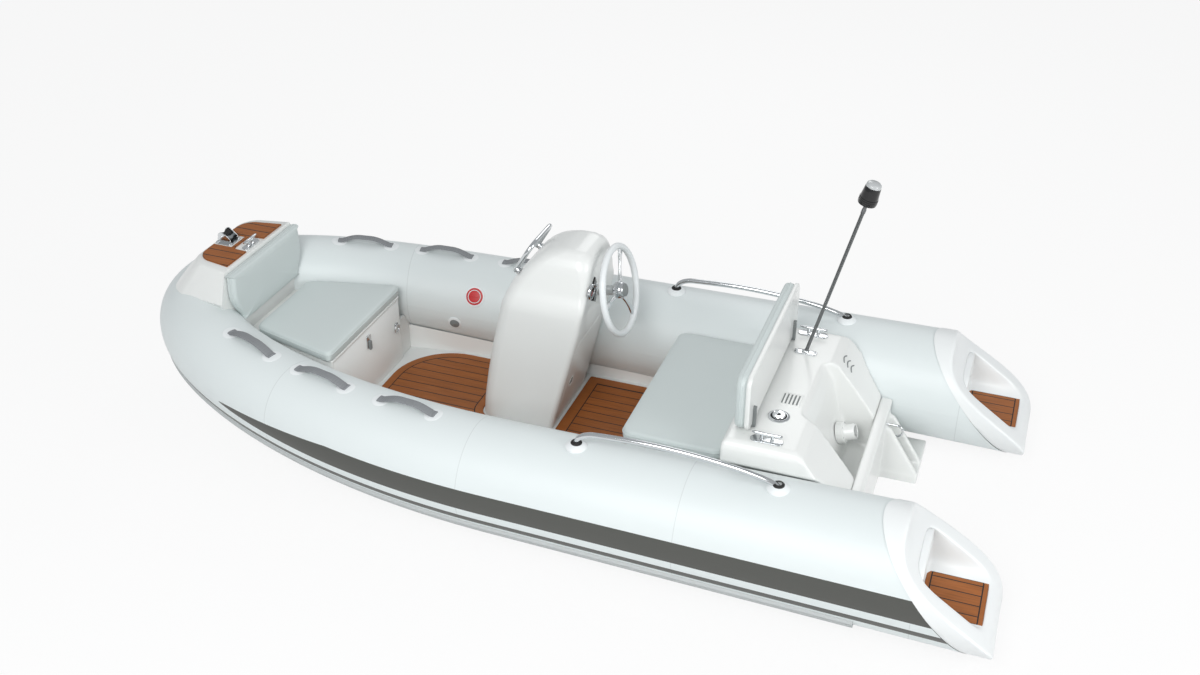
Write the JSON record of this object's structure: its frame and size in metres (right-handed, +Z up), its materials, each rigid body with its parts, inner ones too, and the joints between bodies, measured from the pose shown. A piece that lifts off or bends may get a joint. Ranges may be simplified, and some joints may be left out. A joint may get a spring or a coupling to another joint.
{
  "type": "inflatable RIB boat",
  "caption": "Small rigid inflatable boat with a moulded V hull, side console, seats, teak pads and step cones; it floats on water.",
  "frame": {"origin": "on the waterline plane, on the centreline, in the plane of the transom's outer face", "axes": "+X to the bow, +Y to port, +Z up"},
  "size_m": [3.6215, 1.65, 1.4144],
  "materials": {
    "collar_fabric": "satin",
    "gelcoat": "gloss",
    "cone_plastic": "satin",
    "strake_rubber": "matt",
    "teak": "satin",
    "handle_webbing": "matt",
    "polished_steel": "polished",
    "cushion_vinyl": "satin",
    "wheel_rim": "satin",
    "valve_plastic": "satin",
    "roller_rubber": "matt",
    "black_plastic": "gloss",
    "pole_metal": "satin"
  },
  "bodies": {
    "boat": {"hull_bottom": "gelcoat", "transom": "gelcoat", "deck_liner": "gelcoat", "tube_port": "collar_fabric", "tube_starboard": "collar_fabric", "tube_cuff_port": "collar_fabric", "tube_cuff_starboard": "collar_fabric", "strake_port": "strake_rubber", "strake_starboard": "strake_rubber", "cone_port": "cone_plastic", "cone_starboard": "cone_plastic", "cone_teak_port": "teak", "cone_teak_starboard": "teak", "handles_port": "handle_webbing", "handles_starboard": "handle_webbing", "rail_port": "polished_steel", "rail_starboard": "polished_steel", "rail_pads": "gelcoat", "tube_valves": "valve_plastic", "bow_locker": "gelcoat", "bow_backrest": "cushion_vinyl", "bow_step": "gelcoat", "bow_step_teak": "teak", "bow_fairlead": "polished_steel", "bow_cleat": "polished_steel", "locker_fittings": "polished_steel", "teak_forward": "teak", "teak_aft": "teak", "console": "gelcoat", "console_rail": "polished_steel", "dash_instruments": "black_plastic", "seat_box": "gelcoat", "seat_cushion": "cushion_vinyl", "stern_moulding": "gelcoat", "fuel_filler": "polished_steel", "stern_cleats": "polished_steel", "stern_vents": "gelcoat", "well_outlet": "gelcoat", "transom_eyes": "polished_steel", "light_base": "polished_steel", "light_pole": "pole_metal", "light_lamp": "black_plastic"},
    "wheel": {"steering_wheel": "wheel_rim", "steering_hub": "polished_steel"},
    "door": {"console_door": "gelcoat"},
    "lid": {"bow_lid": "gelcoat", "bow_cushion": "cushion_vinyl"},
    "backrest": {"backrest_shell": "gelcoat", "backrest_cushion": "cushion_vinyl"},
    "roller": {"bow_roller": "roller_rubber"}
  },
  "joints": [
    {"name": "steering", "type": "hinge", "parent": "boat", "child": "wheel", "pos_m": [1.101, -0.185, 0.664], "axis": [-0.9781, 0, 0.2079], "range_deg": [-540, 540]},
    {"name": "door_hinge", "type": "hinge", "parent": "boat", "child": "door", "pos_m": [1.322, -0.185, 0.076], "axis": [0, -1, 0], "range_deg": [0, 75]},
    {"name": "bow_lid_hinge", "type": "hinge", "parent": "boat", "child": "lid", "pos_m": [2.585, 0, 0.363], "axis": [0, 1, 0], "range_deg": [0, 60]},
    {"name": "backrest_fold", "type": "hinge", "parent": "boat", "child": "backrest", "pos_m": [0.47, 0, 0.512], "axis": [0, 1, 0], "range_deg": [0, 90]},
    {"name": "roller_spin", "type": "hinge", "parent": "boat", "child": "roller", "pos_m": [2.818, 0, 0.7], "axis": [0, 1, 0], "continuous": true}
  ]
}
